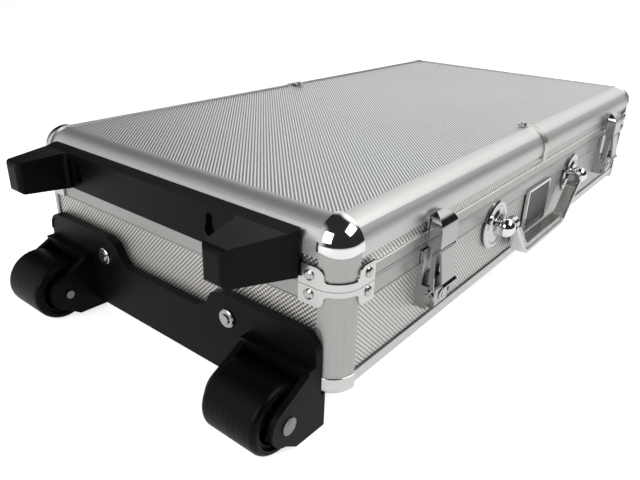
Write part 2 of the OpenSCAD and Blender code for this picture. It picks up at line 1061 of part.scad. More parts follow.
// Half of the bracket plate, mirrored about the middle of the case
module bracket_half_outline() {
    polygon(rounded([
        [bracket_end, -bracket_bottom], [bracket_end, bracket_high],
        [step_at - 2 * step_run, bracket_high],
        [step_at - step_run, bracket_high - step_run * step_high_share],
        [step_at - step_run * step_mid_share,
         bracket_low + step_run * step_low_share],
        [step_at + step_run * step_mid_share, bracket_low],
        [case_w / 2, bracket_low], [case_w / 2, -bracket_bottom]
    ], [0, bracket_corner_r, bracket_step_r, bracket_step_r,
        bracket_step_r, bracket_step_r, 0, 0]));
}

// The face between the wheels, raised from the plate
module bracket_pad_outline() {
    inner = wheel_y + wheel_w + cheek_gap + cheek_t;
    intersection() {
        bracket_half_outline();
        union() {
            translate([inner, -bracket_bottom - cut_over])
                square([case_w / 2 - inner, 2 * bracket_high]);
            translate([bracket_end - cut_over, shelf_top])
                square([case_w / 2, bracket_high]);
        }
    }
}

module bracket_rim_outline() {
    difference() {
        bracket_half_outline();
        translate([bracket_rim, -bracket_rim]) bracket_half_outline();
        translate([0, -bracket_rim]) bracket_half_outline();
    }
}

// Cheek of a wheel fork, as [outward, height] points
module cheek_outline() {
    difference() {
        union() {
            translate([axle_out, -axle_drop])
                circle(r = boss_r, $fn = smooth);
            polygon([
                [0, cheek_top], [bracket_front, cheek_top],
                [axle_out + boss_r * cos(boss_lean),
                 boss_r * sin(boss_lean) - axle_drop],
                [axle_out + boss_r * sin(boss_lean),
                 -axle_drop - boss_r * cos(boss_lean)],
                [axle_out - boss_r * cos(boss_lean), -skirt_low + bead_t],
                [-skirt_in, -skirt_low], [-skirt_in, -cap_drop - side_gap],
                [0, -cap_drop - side_gap]
            ]);
        }
        translate([axle_out, -axle_drop])
            circle(r = axle_r + pin_fit, $fn = smooth);
    }
}

module cheek(from_y) {
    translate([0, from_y + cheek_t, 0]) mirror([1, 0, 0])
        rotate([90, 0, 0]) linear_extrude(cheek_t) cheek_outline();
}

module at_tubes() {
    for (side = [-1, 1])
        translate([0, case_w / 2 + side * tube_gap / 2, -tube_drop])
            children();
}

module wheel_bracket() {
    inner = wheel_y + wheel_w + cheek_gap;
    socket_w = tube_r + socket_wall;
    color("#262626") at_case() difference() {
        union() {
            both_sides() {
                rotate([90, 0, -90]) mirror([1, 0, 0])
                    linear_extrude(bracket_plate_t) bracket_half_outline();
                rotate([90, 0, -90]) mirror([1, 0, 0])
                    linear_extrude(bracket_front) bracket_pad_outline();
                rotate([90, 0, -90]) mirror([1, 0, 0])
                    linear_extrude(bracket_front + bracket_rim_h)
                        bracket_rim_outline();
                cheek(bracket_end);
                cheek(inner);
                box([-shelf_out, bracket_end, shelf_low],
                    [0, inner + cheek_t, shelf_top]);
                box([0, corner_r + side_gap, -bracket_bottom],
                    [skirt_in, case_w / 2, -rail_skid]);
            }
            at_tubes() box([-bracket_plate_t, -socket_w, -socket_w],
                           [socket_l, socket_w, tube_drop - rail_skid]);
        }
        at_tubes() disc_x(tube_r + pin_fit, tube_start - bead_t,
                          socket_l + cut_over);
        both_sides() translate([0, bolt_y, bolt_z])
            disc_x(bolt_shank_r, -2 * bracket_front, cut_over);
    }
}

module bracket_bolts() {
    shank_end = -bracket_front - rail_t;
    shank_r = bolt_shank_r - pin_fit;
    color("lightgray") at_case() both_sides()
        translate([-bracket_front, bolt_y, bolt_z]) rotate([0, -90, 0])
            rotate_extrude($fn = fine) polygon([
                [0, shank_end], [shank_r, shank_end],
                [shank_r, 0], [bolt_r, 0],
                [bolt_r, bolt_h - bolt_edge], [bolt_r - bolt_edge, bolt_h],
                [bolt_dome_r, bolt_h],
                [bolt_dome_r - bolt_edge, bolt_h + bolt_dome_h],
                [0, bolt_h + bolt_dome_h]
            ]);
}

// Stand bar on the lid: two wedge feet joined by a flat bar
bar_near = bar_inset;
bar_far = case_w - bar_inset;

module bar_plan() {
    tip = bar_near + tip_at;
    far_tip = bar_far - tip_at;
    polygon(rounded([
        [0, bar_near], [-foot_out, tip], [-foot_out, tip + foot_tip_w],
        [-bar_t, bar_near + near_foot_in], [-bar_t, bar_far - far_foot_in],
        [-foot_out, far_tip - foot_tip_w], [-foot_out, far_tip], [0, bar_far]
    ], [bar_round, tip_round, tip_round, foot_corner_r, foot_corner_r,
        tip_round, tip_round, bar_round]));
}

module bar_side() {
    polygon(rounded([
        [0, bar_low], [-bar_t, bar_low + bar_bevel], [-foot_out, tip_low],
        [-foot_out, tip_high], [-bar_t, bar_high - bar_bevel],
        [0, bar_high]
    ], [0, bar_round, tip_round, tip_round, bar_round, 0]));
}

// Keyhole slots, the wide end below
module at_slots() {
    for (y = [bar_near + near_slot_in, bar_far - far_slot_in])
        translate([0, y, (bar_low + bar_high) / 2]) children();
}

module screw_slots() {
    at_slots() {
        translate([0, 0, slot_h / 2 - slot_r])
            disc_x(slot_r, -bar_t - cut_over, cut_over);
        translate([0, 0, keyhole_r - slot_h / 2])
            disc_x(keyhole_r, -bar_t - cut_over, cut_over);
        box([-bar_t - cut_over, -slot_r, keyhole_r - slot_h / 2],
            [cut_over, slot_r, slot_h / 2 - slot_r]);
    }
}

module stand_bar() {
    color("#2a2a2a") at_case() difference() {
        intersection() {
            translate([0, 0, bar_low - cut_over])
                linear_extrude(case_h) bar_plan();
            translate([0, case_w, 0]) rotate([90, 0, 0])
                linear_extrude(case_w) bar_side();
        }
        box([-bar_t - cut_over, bar_near + near_foot_in,
             bar_low - cut_over],
            [panel_sink - bar_t, bar_far - far_foot_in,
             bar_high - ledge_h]);
        screw_slots();
        both_sides() box([-plate_t - 2 * bead_t, 0, 0],
                         [cut_over, corner_r + bracket_arm + side_gap,
                          lid_z + bracket_rise + side_gap]);
        translate([corner_r, -cut_over, edge_z]) rotate([-90, 0, 0])
            cylinder(r = corner_r, h = case_w + 2 * cut_over, $fn = smooth);
    }
}

module stand_bar_screws() {
    color("#151515") at_case() at_slots()
        translate([0, 0, slot_h / 2 - slot_r])
            disc_x(slot_r - swing_gap, -slot_depth, 0);
}

// Trolley handle under the case
module tube(r, t, low_x, high_x) {
    difference() {
        disc_x(r, low_x, high_x);
        disc_x(r - t, low_x - cut_over, high_x + cut_over);
    }
}

inner_r = tube_r - tube_t - pin_fit;
inner_start = case_l - tube_end_in - trolley_travel - tube_overlap;

module trolley_outer_tubes() {
    color("silver") at_case() at_tubes()
        tube(tube_r, tube_t, tube_start, case_l - tube_end_in);
}

module trolley_housing() {
    low_x = case_l - housing_l;
    half = housing_w / 2;
    plate_x = case_l + housing_plate_t;
    color("#262626") at_case() difference() {
        union() {
            translate([low_x, case_w / 2 - half, -floor_drop])
                linear_extrude(floor_drop - rail_skid)
                    round_rect(housing_l + housing_plate_t, housing_w,
                               housing_round / 2);
            translate([case_l, case_w / 2 - half, -floor_drop])
                rotate([90, 0, 90]) linear_extrude(housing_plate_t)
                    round_rect(housing_w, floor_drop + housing_rise,
                               housing_round);
        }
        for (side = [-1, 1]) {
            translate([0, case_w / 2 + side * tube_gap / 2, -tube_drop]) {
                disc_x(tube_r + pin_fit, low_x - cut_over,
                       case_l - tube_end_in + pin_fit);
                disc_x(inner_r + swing_gap, low_x, plate_x + cut_over);
            }
            translate([0, case_w / 2 + side * tube_gap / 2,
                       housing_rise / 2])
                disc_x(screw_r / 2 + pin_fit, case_l - cut_over,
                       plate_x + cut_over);
        }
        box([low_x + housing_wall,
             case_w / 2 - tube_gap / 2 + tube_r + housing_wall,
             -floor_drop - cut_over],
            [case_l - housing_wall,
             case_w / 2 + tube_gap / 2 - tube_r - housing_wall,
             -housing_wall]);
        box([low_x - cut_over, case_w / 2 - tube_gap / 2 + tube_r
             + housing_wall, -floor_drop - cut_over],
            [low_x + 2 * housing_wall,
             case_w / 2 + tube_gap / 2 - tube_r - housing_wall,
             -housing_wall]);
    }
}

module trolley_housing_screws() {
    plate_x = case_l + housing_plate_t;
    color("gray") at_case()
        for (side = [-1, 1])
            translate([plate_x, case_w / 2 + side * tube_gap / 2,
                       housing_rise / 2]) difference() {
                union() {
                    disc_x(screw_r, 0, screw_h);
                    disc_x(screw_r / 2, -housing_plate_t, 0);
                }
                box([screw_h / 2, -screw_r, -screw_slot / 2],
                    [screw_h + cut_over, screw_r, screw_slot / 2]);
            }
}

grip_x = case_l + housing_plate_t + grip_clear;

module trolley_inner_tubes() {
    color("silver") at_case() at_tubes()
        tube(inner_r, tube_t, inner_start, grip_x + socket_deep);
}

module trolley_grip() {
    half = tube_gap / 2 + grip_extra;
    color("#2a2a2a") at_case()
        translate([grip_x, case_w / 2, -tube_drop]) difference() {
            intersection() {
                translate([0, -half, -grip_h / 2])
                    linear_extrude(grip_h)
                        round_rect(grip_t, 2 * half, grip_plan_r);
                translate([0, half, 0]) rotate([90, 0, 0])
                    linear_extrude(2 * half)
                        translate([0, -grip_h / 2])
                            round_rect(grip_t, grip_h, grip_edge_r);
            }
            box([-cut_over, -tube_gap / 2 + grip_extra, -grip_h],
                [grip_t - grip_bar, tube_gap / 2 - grip_extra, grip_h]);
            for (side = [-1, 1])
                translate([0, side * tube_gap / 2, 0])
                    disc_x(inner_r + pin_fit, -cut_over, socket_deep);
            box([grip_t - button_deep, -button_l / 2 - side_gap,
                 -button_h / 2 - side_gap],
                [grip_t + cut_over, button_l / 2 + side_gap,
                 button_h / 2 + side_gap]);
        }
}

module trolley_button() {
    color("dimgray") at_case()
        translate([grip_x + grip_t, case_w / 2, -tube_drop])
            translate([-button_out, -button_l / 2, -button_h / 2])
                rotate([90, 0, 90]) linear_extrude(2 * button_out)
                    round_rect(button_l, button_h, button_r);
}

// Hinges behind the case, each with its own pin
module at_hinges() {
    step = (case_l - 2 * hinge_inset) / (hinge_count - 1);
    for (i = [0 : hinge_count - 1])
        translate([hinge_inset + i * step, case_w, base_h]) children();
}

knuckle_l = (hinge_l + knuckle_gap) / knuckles;

// Wedges on both leaves meet face to face when the lid is fully open
module stop_wedge() {
    turn = lid_swing / 2 + stop_gap_angle;
    near_r = knuckle_r + swing_gap;
    far = [hinge_y + stop_out * cos(turn), stop_out * sin(turn)];
    polygon([
        [0, leaf_h], [plate_t, leaf_h], [far[0], far[1] + plate_t], far,
        [hinge_y + near_r * cos(turn), near_r * sin(turn)],
        [0, near_r * sin(turn)]
    ]);
}

// One leaf: first_knuckle is 0 for the base leaf and 1 for the lid leaf
module hinge_leaf(first_knuckle, up) {
    difference() {
        union() {
            scale([1, 1, up]) {
                box([-hinge_l / 2, 0, parting_gap / 2],
                    [hinge_l / 2, plate_t, leaf_h]);
                along_length(-hinge_l / 2, hinge_l) stop_wedge();
            }
            for (i = [first_knuckle : 2 : knuckles - 1])
                translate([i * knuckle_l - hinge_l / 2, 0, 0]) {
                    translate([0, hinge_y, 0])
                        disc_x(knuckle_r, 0, knuckle_l - knuckle_gap);
                    scale([1, 1, up])
                        box([0, 0, parting_gap / 2],
                            [knuckle_l - knuckle_gap, hinge_y,
                             knuckle_web_h]);
                }
        }
        translate([0, hinge_y, 0])
            disc_x(hinge_pin_r + pin_fit, -hinge_l, hinge_l);
        for (i = [1 - first_knuckle : 2 : knuckles - 1])
            translate([i * knuckle_l - hinge_l / 2 - knuckle_gap, hinge_y, 0])
                disc_x(knuckle_r + swing_gap, 0, knuckle_l + knuckle_gap);
    }
}

module hinge_base_leaves() {
    color("silver") at_case() at_hinges() hinge_leaf(0, -1);
}

module hinge_lid_leaves() {
    color("silver") at_case() at_hinges() hinge_leaf(1, 1);
}

module hinge_pins() {
    color("gray") at_case() at_hinges()
        translate([0, hinge_y, 0])
            disc_x(hinge_pin_r, -hinge_l / 2, hinge_l / 2);
}

// Foam tray with two rack compartments and a row of tile compartments
tray_x = wall_t + rail_t + foam_gap;
tray_z = wall_t + foam_gap;
tray_l = case_l - 2 * tray_x;
tray_w = case_w - 2 * tray_x;
bay_z = tray_z + tray_h - bay_depth;

module bay(low, high) {
    translate([low[0], low[1], bay_z])
        linear_extrude(bay_depth + cut_over)
            round_rect(high[0] - low[0], high[1] - low[1], foam_r);
}

module tile_tray() {
    rack_l = tray_l - 2 * foam_side;
    tile_l = (rack_l - (tile_bays - 1) * foam_rib) / tile_bays;
    tile_low = tray_x + foam_side + rack_bay_w + foam_rib;
    tile_high = case_w - tile_low;
    color("#3a3a3e") at_case() difference() {
        translate([tray_x, tray_x, tray_z])
            linear_extrude(tray_h) round_rect(tray_l, tray_w, foam_r);
        both_sides() bay([tray_x + foam_side, tray_x + foam_side],
                         [tray_x + foam_side + rack_l,
                          tray_x + foam_side + rack_bay_w]);
        for (i = [0 : tile_bays - 1])
            translate([i * (tile_l + foam_rib), 0, 0])
                bay([tray_x + foam_side, tile_low],
                    [tray_x + foam_side + tile_l, tile_high]);
    }
}

// Panels of the lid
module lid_top_panel() {
    color("gainsboro") at_case()
        box([corner_r, corner_r, case_h - wall_t],
            [case_l - corner_r, case_w - corner_r, case_h - rail_t]);
}

module lid_side_section() {
    translate([rail_t, lid_z + rail_t])
        square([board_t, edge_z - lid_z - 2 * rail_t]);
}

module lid_front_strip() {
    color("silver") at_case()
        along_length(corner_r, span_x) lid_side_section();
}

module lid_rear_strip() {
    color("silver") at_case()
        translate([0, case_w, 0]) mirror([0, 1, 0])
            along_length(corner_r, span_x) lid_side_section();
}

module lid_wheel_end_strip() {
    color("silver") at_case()
        along_width(corner_r, span_y) lid_side_section();
}

module lid_trolley_end_strip() {
    color("silver") at_case()
        translate([case_l, 0, 0]) mirror([1, 0, 0])
            along_width(corner_r, span_y) lid_side_section();
}

// Curved rail of the lid edge, with a leg down the side and a ledge
module edge_section() {
    translate([corner_r, edge_z]) intersection() {
        difference() {
            circle(r = corner_r, $fn = smooth);
            circle(r = corner_r - rail_t, $fn = smooth);
        }
        translate([-corner_r, 0]) square(corner_r);
    }
    translate([0, strip_top]) square([rail_t, edge_drop]);
}

// Ledge under the edge of the top panel
module edge_ledge() {
    ring_in = corner_r - rail_t;
    ledge_z = case_h - wall_t - rail_t;
    ledge_x = corner_r - sqrt(ring_in * ring_in
                              - (ledge_z - edge_z) * (ledge_z - edge_z));
    translate([ledge_x - rail_t / 2, ledge_z])
        square([corner_r + ledge_in - ledge_x + rail_t / 2, rail_t]);
}

// The ledges of the end rails stop short of those along the sides
module lid_edge_rails() {
    from_y = corner_r + ledge_in + mitre_gap;
    color("whitesmoke") at_case() {
        rail_ring() edge_section();
        both_sides() along_length(corner_r, span_x) edge_ledge();
        both_ends() along_width(from_y, case_w - 2 * from_y) edge_ledge();
    }
}

module lid_channel_section() {
    tongue_x = wall_t + rail_t + tongue_gap;
    difference() {
        translate([0, lid_z]) square([wall_t + rail_t, lid_rail_h]);
        translate([rail_t, lid_z + rail_t])
            square([board_t, lid_rail_h]);
        translate([wall_t, lid_z + channel_leg])
            square([rail_t + cut_over, lid_rail_h]);
        translate([-cut_over, lid_z + 2 * bead_t])
            square([recess_t + cut_over, lid_rail_h - recess_edge]);
    }
    translate([wall_t + rail_t / 2, lid_z])
        square([tongue_x + rail_t - wall_t - rail_t / 2, rail_t]);
    translate([tongue_x, lid_z - tongue_h])
        square([rail_t, tongue_h + rail_t]);
}

module lid_frame_rails() {
    color("gainsboro") at_case() rail_ring() lid_channel_section();
}

module lid_corner_posts() {
    color("gainsboro") at_case() four_corners()
        translate([0, 0, lid_z])
            linear_extrude(edge_z - lid_z) corner_ring(corner_r, wall_t);
}

// Ball shaped corner caps, each with a lobe down its post
module ball_profile() {
    outer = corner_r + ball_fit + ball_t;
    intersection() {
        difference() {
            circle(r = outer, $fn = smooth);
            circle(r = outer - ball_t, $fn = smooth);
        }
        square(outer);
    }
    translate([outer - ball_t, -ball_skirt_h])
        square([ball_t, ball_skirt_h]);
}

module lid_corner_balls() {
    reach = corner_r + ball_lip;
    low = edge_z - ball_skirt_h - ball_t;
    color("gainsboro") at_case() four_corners() difference() {
        intersection() {
            translate([corner_r, corner_r, edge_z])
                rotate_extrude($fn = fine) ball_profile();
            box([-reach, -reach, low], [reach, reach, case_h + reach]);
        }
        difference() {
            box([-2 * reach, -2 * reach, low - ball_t],
                [2 * reach, 2 * reach, edge_z]);
            translate([0, 0, ball_low + ball_lobe_r]) rotate([0, 90, 45])
                cylinder(r = ball_lobe_r, h = 4 * corner_r, center = true,
                         $fn = smooth);
        }
    }
}

module clip_section() {
    outer = corner_r + plate_fit + plate_t;
    translate([corner_r, edge_z]) intersection() {
        difference() {
            circle(r = outer, $fn = smooth);
            circle(r = outer - plate_t, $fn = smooth);
        }
        translate([-outer, 0]) square(outer);
    }
    translate([-plate_fit - plate_t, clip_low])
        square([plate_t, edge_z - clip_low]);
    translate([corner_r, case_h + plate_fit])
        square([clip_reach, plate_t]);
}

module lid_centre_clips() {
    bolt_z = case_h + plate_fit;
    color("gainsboro") at_case() both_sides() {
        along_length(case_l / 2 - clip_w / 2, clip_w) clip_section();
        translate([case_l / 2, corner_r + clip_reach, bolt_z]) {
            cylinder(r = clip_end_r, h = plate_t, $fn = fine);
            cylinder(r = clip_bolt_r, h = plate_t + clip_bolt_h,
                     $fn = fine);
        }
    }
}

module lid_foam_pad() {
    pad_z = lid_z + pad_low;
    pad_x = tray_x + pad_gap;
    top_z = case_h - wall_t - rail_t - foam_gap;
    color("#44444a") at_case()
        translate([pad_x, pad_x, pad_z])
            linear_extrude(top_z - pad_z)
                round_rect(case_l - 2 * pad_x, case_w - 2 * pad_x, foam_r);
}

base_bottom_panel();
base_front_panel();
base_rear_panel();
base_wheel_end_panel();
base_trolley_end_panel();
base_bottom_rails();
base_frame_rails();
base_corner_posts();
base_corner_caps();
base_corner_brackets();
base_corner_rivets();
badge_frame();
badge_plate();
latch_base_plates();
latch_lock_housings();
latch_lock_cylinders();
latch_hasp_pins();
handle_escutcheons();
handle_ball_studs();
wheel_bracket();
wheel_axles();
bracket_bolts();
trolley_outer_tubes();
trolley_housing();
trolley_housing_screws();
hinge_base_leaves();
hinge_pins();
tile_tray();
lid_top_panel();
lid_front_strip();
lid_rear_strip();
lid_wheel_end_strip();
lid_trolley_end_strip();
lid_edge_rails();
lid_frame_rails();
lid_corner_posts();
lid_corner_balls();
lid_corner_brackets();
lid_corner_rivets();
lid_centre_clips();
latch_keepers();
stand_bar();
stand_bar_screws();
hinge_lid_leaves();
lid_foam_pad();
carry_handle_bow();
carry_handle_grip();
near_latch_hasp();
near_latch_lever();
far_latch_hasp();
far_latch_lever();
near_wheel_tyre();
near_wheel_hub();
far_wheel_tyre();
far_wheel_hub();
trolley_inner_tubes();
trolley_grip();
trolley_button();
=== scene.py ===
import math

import bpy
from mathutils import Matrix, Vector, noise


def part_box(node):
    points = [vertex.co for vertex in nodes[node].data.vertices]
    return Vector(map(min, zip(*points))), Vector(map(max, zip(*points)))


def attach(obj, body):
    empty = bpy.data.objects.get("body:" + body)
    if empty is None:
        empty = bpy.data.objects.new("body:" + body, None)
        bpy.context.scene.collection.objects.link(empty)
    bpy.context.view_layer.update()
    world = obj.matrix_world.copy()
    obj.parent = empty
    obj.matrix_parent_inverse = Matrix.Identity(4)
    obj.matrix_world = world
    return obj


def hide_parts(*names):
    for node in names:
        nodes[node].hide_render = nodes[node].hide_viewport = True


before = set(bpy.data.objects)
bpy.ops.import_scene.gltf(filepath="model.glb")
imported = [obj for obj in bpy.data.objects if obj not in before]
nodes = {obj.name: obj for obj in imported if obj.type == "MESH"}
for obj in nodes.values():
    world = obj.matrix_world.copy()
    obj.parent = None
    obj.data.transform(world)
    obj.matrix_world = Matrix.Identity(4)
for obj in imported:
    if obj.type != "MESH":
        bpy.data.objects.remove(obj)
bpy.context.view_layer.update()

X, Y, Z = 0, 1, 2

# Case coordinates are millimetres from the near bottom corner of the case.
# This is where the shared frame's origin lies in them.
MID_X, MID_Y, FLOOR = 274.7, 141.021, 31.0

# The room is dim, with patches of light. Each patch has its direction, the
# cosines where it starts and where it is full, and its strength.
ROOM = 0.030
BEHIND_WAY, BEHIND_START, BEHIND_FULL, BEHIND = (0.93, 0.34, 0.14), 0.68, 1.0, 0.92
LEFT_WALL = (-0.66, 0.70, 0.27), 0.70, 0.97, 0.75
HIGH_SPOT = (0.82, 0.00, 0.57), 0.88, 0.98, 1.5
# The patch behind the case fades between these heights on the unit sphere.
FADE_LOW, FADE_HIGH, FADE_LEFT = 0.45, 0.8, 0.12

FLOOR_HALF = 6.0
FLOOR_LIFT = 0.75         # added to the lit floor, so that it is white
MIRRORED_LIFT = 0.5       # share of the lift that reflections see

WINDOW_DISTANCE = 2.0
WINDOW_AIM = Vector((-0.2, -0.1, 0.1))
RIGHT_WATTS, LEFT_WATTS = 24, 20

RAIL_LOW_SHADE_HEIGHT = 0.03865   # height above which the base's bottom rails are painted dark: painted shade of the gap where the front panel meets them
LID_RAIL_LIP = 0.10233    # height above which the lid's frame rails get a painted highlight along their lip
# painted shade laid on the top of the base's bottom rails
GAP_PAINTED_SHADE = (0.10, 0.10, 0.10)
# painted highlight laid along the lip of the lid's frame rails
LIP_PAINTED_HIGHLIGHT = (0.95, 0.95, 0.93)
# painted shade for the edges of the pressed corner brackets
EDGE_PAINTED_SHADE = (0.05, 0.05, 0.05)
DULL_PLASTIC = 0.085      # specular level of the black parts
FOAM_CELL = 0.0028        # size of the cells that the foam is remeshed with
FOAM_SWAY = 0.0004        # unevenness of the foam's free face


def at(x, y, z):
    """A point in case coordinates, as metres in the shared frame."""
    return Vector(((x - MID_X) / 1000, (y - MID_Y) / 1000, (z + FLOOR) / 1000))


def times(color, factor):
    return tuple(c * factor for c in color)


# Node materials --------------------------------------------------------------
class Mat:
    """A Principled material with short calls for its nodes."""

    def __init__(self, name, color, rough, metal=0.0):
        self.m = bpy.data.materials.new(name)
        self.m.use_nodes = True
        self.t = self.m.node_tree
        self.t.nodes.clear()
        self.out = self.t.nodes.new("ShaderNodeOutputMaterial")
        self.p = self.t.nodes.new("ShaderNodeBsdfPrincipled")
        self.wire(self.p.outputs[0], self.out.inputs[0])
        self.set("Base Color", (*color, 1))
        self.set("Roughness", rough)
        self.set("Metallic", metal)
        self.place = self.n("ShaderNodeTexCoord").outputs
        self.coord = self.place["Object"]

    def n(self, kind, **props):
        node = self.t.nodes.new(kind)
        for key, value in props.items():
            setattr(node, key, value)
        return node

    def set(self, socket, value):
        self.p.inputs[socket].default_value = value

    def wire(self, a, b):
        self.t.links.new(a, b)

    def math(self, op, a, b=None, clamp=False):
        node = self.n("ShaderNodeMath", operation=op, use_clamp=clamp)
        for socket, v in zip(node.inputs, (a, b)):
            if isinstance(v, (int, float)):
                socket.default_value = v
            elif v is not None:
                self.wire(v, socket)
        return node.outputs[0]

    def parts(self, vector):
        node = self.n("ShaderNodeSeparateXYZ")
        self.wire(vector, node.inputs[0])
        return node.outputs

    def scaled(self, scale):
        node = self.n("ShaderNodeMapping")
        node.inputs["Scale"].default_value = scale
        self.wire(self.coord, node.inputs["Vector"])
        return node.outputs[0]

    def noise(self, scale, detail=3.0, rough=0.5, vector=None):
        node = self.n("ShaderNodeTexNoise")
        node.inputs["Scale"].default_value = scale
        node.inputs["Detail"].default_value = detail
        node.inputs["Roughness"].default_value = rough
        self.wire(vector or self.coord, node.inputs["Vector"])
        return node.outputs["Fac"]

    def spread(self, value, low, high, from_low=0.3, from_high=0.7):
        node = self.n("ShaderNodeMapRange")
        for key, v in (("From Min", from_low), ("From Max", from_high),
                       ("To Min", low), ("To Max", high)):
            node.inputs[key].default_value = v
        self.wire(value, node.inputs["Value"])
        return node.outputs[0]

    def tint(self, share, low, high):
        """Colour the surface between low and high, and return that colour."""
        node = self.n("ShaderNodeMix", data_type="RGBA")
        node.inputs["A"].default_value = (*low, 1)
        node.inputs["B"].default_value = (*high, 1)
        self.wire(share, node.inputs["Factor"])
        self.wire(node.outputs["Result"], self.p.inputs["Base Color"])
        return node.outputs["Result"]

    def cover(self, under, where, color):
        """Lay a plain colour over the colour under, where where is 1."""
        node = self.n("ShaderNodeMix", data_type="RGBA")
        node.inputs["B"].default_value = (*color, 1)
        self.wire(where, node.inputs["Factor"])
        self.wire(under, node.inputs["A"])
        self.wire(node.outputs["Result"], self.p.inputs["Base Color"])

    def bump(self, height, distance, strength, after=None):
        node = self.n("ShaderNodeBump")
        node.inputs["Strength"].default_value = strength
        node.inputs["Distance"].default_value = distance
        self.wire(height, node.inputs["Height"])
        if after:
            self.wire(after, node.inputs["Normal"])
        return node.outputs["Normal"]

    def normal(self, output):
        self.wire(output, self.p.inputs["Normal"])

    def rough(self, output):
        self.wire(output, self.p.inputs["Roughness"])


def skin(name, axis_a, axis_b, slant, pitch, cross, low, high):
    """Metal skin embossed with slanting ribs in the plane of two axes, its crests
    painted light and its grooves painted dark.

    cross is the share of a second set of ribs, across the first.
    """
    m = Mat(name, high, 0.36, 0.88)
    place = m.parts(m.coord)
    turn = math.tau / (pitch * math.hypot(1, slant))

    def wave(slope):
        across = m.math("ADD", place[axis_a],
                        m.math("MULTIPLY", place[axis_b], slope))
        return m.math("SINE", m.math("MULTIPLY", across, turn))

    both = m.math("ADD", wave(slant), m.math("MULTIPLY", wave(-slant), cross))
    rib = m.spread(both, 0, 1, -0.8 - cross * 0.6, 0.8 + cross * 0.6)
    # The colour runs from low in the rib grooves to high on the crests: painted
    # shade and painted highlight of the embossing.
    m.tint(m.math("MULTIPLY", rib, m.spread(m.noise(7, 3), 0.90, 1.0)), low, high)
    m.rough(m.spread(m.noise(2600, 2), 0.30, 0.42))
    m.normal(m.bump(rib, 0.00030, 0.8,
                    m.bump(m.noise(900, 3), 0.00004, 0.25)))
    return m.m


def rail(name, color, along, rough_low, rough_high, lip=None, lip_painted_light=None):
    """Extruded aluminium with fine die lines along one axis.

    Above the height lip, where the rail meets the skin, it takes the lip colour,
    which is painted light: painted shade on the base's bottom rails and a painted
    highlight on the lid's frame rails.
    """
    m = Mat(name, color, rough_low, 0.78)
    stretch = [900, 900, 900]
    stretch[along] = 6
    lines = m.noise(1, 3, 0.6, m.scaled(stretch))
    m.rough(m.spread(m.math("ADD", m.math("MULTIPLY", lines, 0.6),
                            m.math("MULTIPLY", m.noise(9, 2), 0.4)),
                     rough_low, rough_high))
    shade = m.tint(m.spread(lines, 0, 1), times(color, 0.93), color)
    if lip:
        # Lay the painted light over the rail above the lip height: shade on the
        # bottom rails, a highlight on the lid's frame rails.
        m.cover(shade, m.math("GREATER_THAN", m.parts(m.coord)[Z], lip), lip_painted_light)
    m.normal(m.bump(lines, 0.00003, 0.22))
    return m.m


def plated(name, color, rough_low, rough_high, edge_painted_shade=None):
    """Bright plating with faint waviness and wiped smudges.

    The upper and lower edges of a pressed plate are painted dark with the edge
    colour: painted shade standing in for the shadow gap round the plate.
    """
    m = Mat(name, color, rough_low, 1.0)
    m.rough(m.spread(m.noise(70, 4, 0.6), rough_low, rough_high))
    shade = m.tint(m.spread(m.noise(45, 3), 0, 1), times(color, 0.94), color)
    if edge_painted_shade:
        # Faces that point up or down, the plate's edges, get painted shade.
        upright = m.math("ABSOLUTE", m.parts(m.place["Normal"])[Z])
        m.cover(shade, m.math("GREATER_THAN", upright, 0.6), edge_painted_shade)
    m.normal(m.bump(m.noise(160, 2), 0.00006, 0.10))
    return m.m


def moulded(name, color, rough_low, rough_high):
    """Moulded plastic with spark grain and slight wear."""
    m = Mat(name, color, rough_low)
    m.set("Specular IOR Level", DULL_PLASTIC)
    cells = m.n("ShaderNodeTexVoronoi", feature="SMOOTH_F1")
    cells.inputs["Scale"].default_value = 2200
    m.wire(m.coord, cells.inputs["Vector"])
    patch = m.noise(26, 4, 0.6)
    m.rough(m.spread(patch, rough_low, rough_high))
    m.tint(m.spread(patch, 0, 1), color, times(color, 1.35))
    m.normal(m.bump(cells.outputs["Distance"], 0.00006, 0.5,
                    m.bump(m.noise(60, 2), 0.0003, 0.05)))
    return m.m


def ribbed(name, color, axis, pitch, depth, metal, rough_low, rough_high):
    """A surface with fine ribs or rings across one axis, its grooves painted darker
    as shade.
    """
    m = Mat(name, color, rough_low, metal)
    m.set("Specular IOR Level", DULL_PLASTIC)
    turns = m.math("MULTIPLY", m.parts(m.coord)[axis], math.tau / pitch)
    rib = m.spread(m.math("SINE", turns), 0, 1, -0.6, 0.6)
    # The grooves are painted darker than the crests: painted shade.
    m.tint(rib, times(color, 0.6), color)
    m.rough(m.spread(m.noise(60, 4, 0.6), rough_low, rough_high))
    m.normal(m.bump(rib, depth, 0.8, m.bump(m.noise(1600, 2), 0.00003, 0.3)))
    return m.m


def foam(name, color):
    """Flocked foam with a soft nap."""
    m = Mat(name, color, 0.95)
    m.set("Sheen Weight", 0.35)
    m.set("Sheen Roughness", 0.6)
    nap = m.noise(1500, 5, 0.75)
    m.tint(m.spread(nap, 0, 1), times(color, 0.7), times(color, 1.4))
    m.normal(m.bump(nap, 0.0004, 0.6, m.bump(m.noise(90, 3), 0.0008, 0.2)))
    return m.m


